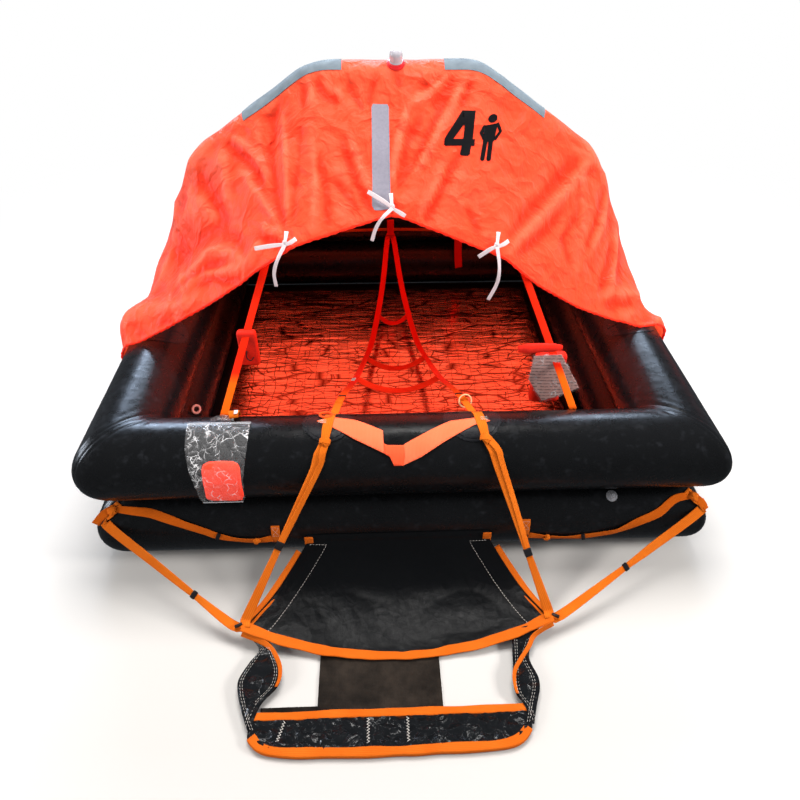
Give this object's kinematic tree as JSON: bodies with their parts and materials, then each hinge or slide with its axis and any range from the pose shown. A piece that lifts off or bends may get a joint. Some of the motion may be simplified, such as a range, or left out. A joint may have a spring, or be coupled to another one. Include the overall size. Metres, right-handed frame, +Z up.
{
  "type": "inflatable life raft",
  "caption": "Inflated coastal life raft with two stacked square tubes, an arched fabric canopy, boarding ramp, step and ladder.",
  "frame": {"origin": "on the floor, at the middle of the raft's footprint with the ramp and step laid out", "axes": "+Z up, +Y from the boarding step towards the raft's back, +X to the right of someone who faces the entrance"},
  "size_m": [1.7566, 2.3516, 1.1786],
  "materials": {
    "coated_tube_fabric": "satin",
    "canopy_fabric": "satin",
    "orange_webbing": "woven",
    "red_webbing": "woven",
    "salmon_handle_webbing": "woven",
    "black_tarpaulin": "gloss",
    "metallised_floor_film": "crinkled film",
    "brown_black_web": "matt",
    "lamp_ring_red": "matt",
    "lamp_lens_white": "gloss",
    "red_pouch_fabric": "matt",
    "printed_card": "matt",
    "clear_film_bag": "gloss",
    "bright_valve_metal": "bright",
    "pink_rubber": "matt",
    "cylinder_paint_grey": "satin",
    "brass_operating_head": "satin"
  },
  "bodies": {
    "root": {"arch_stay_left": "red_webbing", "arch_stay_right": "red_webbing", "arch_tube": "coated_tube_fabric", "ballast_pocket_1": "black_tarpaulin", "ballast_pocket_2": "black_tarpaulin", "ballast_pocket_3": "black_tarpaulin", "ballast_pocket_4": "black_tarpaulin", "boarding_handle": "salmon_handle_webbing", "boarding_ramp": "black_tarpaulin", "canopy_front": "canopy_fabric", "canopy_rear": "canopy_fabric", "corner_strap_left": "orange_webbing", "corner_strap_right": "orange_webbing", "cylinder_band_1": "black_tarpaulin", "cylinder_band_2": "black_tarpaulin", "cylinder_head": "brass_operating_head", "floor_mat": "metallised_floor_film", "front_lifeline_left": "orange_webbing", "front_lifeline_right": "orange_webbing", "front_strap_left": "orange_webbing", "front_strap_right": "orange_webbing", "gas_cylinder": "cylinder_paint_grey", "hanging_strap": "red_webbing", "inflation_valve": "bright_valve_metal", "inner_lifeline_rear": "orange_webbing", "instruction_card": "printed_card", "ladder_anchor_tab": "red_webbing", "ladder_leg_left": "red_webbing", "ladder_leg_right": "red_webbing", "ladder_rung_1": "red_webbing", "ladder_rung_2": "red_webbing", "ladder_rung_3": "red_webbing", "lamp_base": "lamp_ring_red", "lamp_dome": "lamp_lens_white", "line_ring": "pink_rubber", "lower_tube": "coated_tube_fabric", "raft_floor": "black_tarpaulin", "rear_lifeline": "orange_webbing", "righting_strap": "orange_webbing", "side_lifeline_left": "orange_webbing", "side_lifeline_right": "orange_webbing", "stay_pouch_left": "red_pouch_fabric", "stay_pouch_right": "red_pouch_fabric", "step_side_left": "black_tarpaulin", "step_side_right": "black_tarpaulin", "step_tread": "black_tarpaulin", "step_web": "brown_black_web", "upper_tube": "coated_tube_fabric", "zip_bag": "clear_film_bag"}
  },
  "joints": []
}
